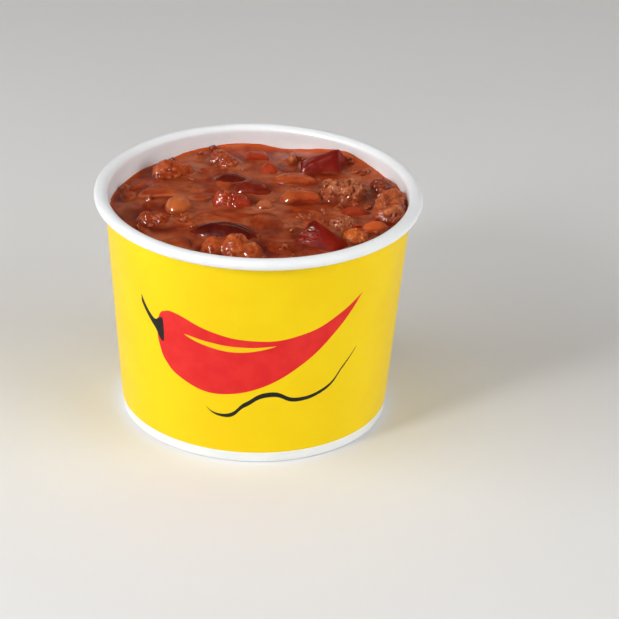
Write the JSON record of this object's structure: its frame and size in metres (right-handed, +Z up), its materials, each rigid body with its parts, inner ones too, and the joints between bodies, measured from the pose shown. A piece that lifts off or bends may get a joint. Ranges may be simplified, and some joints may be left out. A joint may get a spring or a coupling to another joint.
{
  "type": "chili con carne in a paper cup",
  "caption": "Thick chili with beans, ground beef and tomato pieces, filling a round rolled-rim paper food cup with a recessed base almost to its rim.",
  "frame": {"origin": "centre of the cup's foot, on the surface it stands on", "axes": "+Z up the axis of the cup; -Y is the front, with the middle of the printed design; +X is the right-hand side seen from the front"},
  "size_m": [0.091, 0.091, 0.0658],
  "materials": {
    "printed_board": "satin",
    "white_board": "satin",
    "chili_sauce": "gloss",
    "ground_beef": "satin",
    "kidney_bean_skin": "gloss",
    "red_bean_skin": "gloss",
    "pinto_bean_skin": "gloss",
    "tomato_flesh": "gloss"
  },
  "bodies": {
    "root": {"beef_chunk_1": "ground_beef", "beef_chunk_2": "ground_beef", "beef_chunk_3": "ground_beef", "beef_chunk_4": "ground_beef", "beef_chunk_5": "ground_beef", "beef_chunk_6": "ground_beef", "beef_chunk_7": "ground_beef", "beef_chunk_8": "ground_beef", "beef_chunk_9": "ground_beef", "cup_base": "white_board", "cup_wall": "printed_board", "kidney_bean_1": "kidney_bean_skin", "kidney_bean_2": "kidney_bean_skin", "kidney_bean_3": "kidney_bean_skin", "kidney_bean_4": "red_bean_skin", "kidney_bean_5": "red_bean_skin", "kidney_bean_6": "red_bean_skin", "pinto_bean_1": "pinto_bean_skin", "pinto_bean_2": "pinto_bean_skin", "pinto_bean_3": "pinto_bean_skin", "stew": "chili_sauce", "tomato_chunk_1": "tomato_flesh", "tomato_chunk_2": "tomato_flesh", "tomato_chunk_3": "tomato_flesh", "tomato_chunk_4": "tomato_flesh", "tomato_chunk_5": "tomato_flesh"}
  },
  "joints": []
}
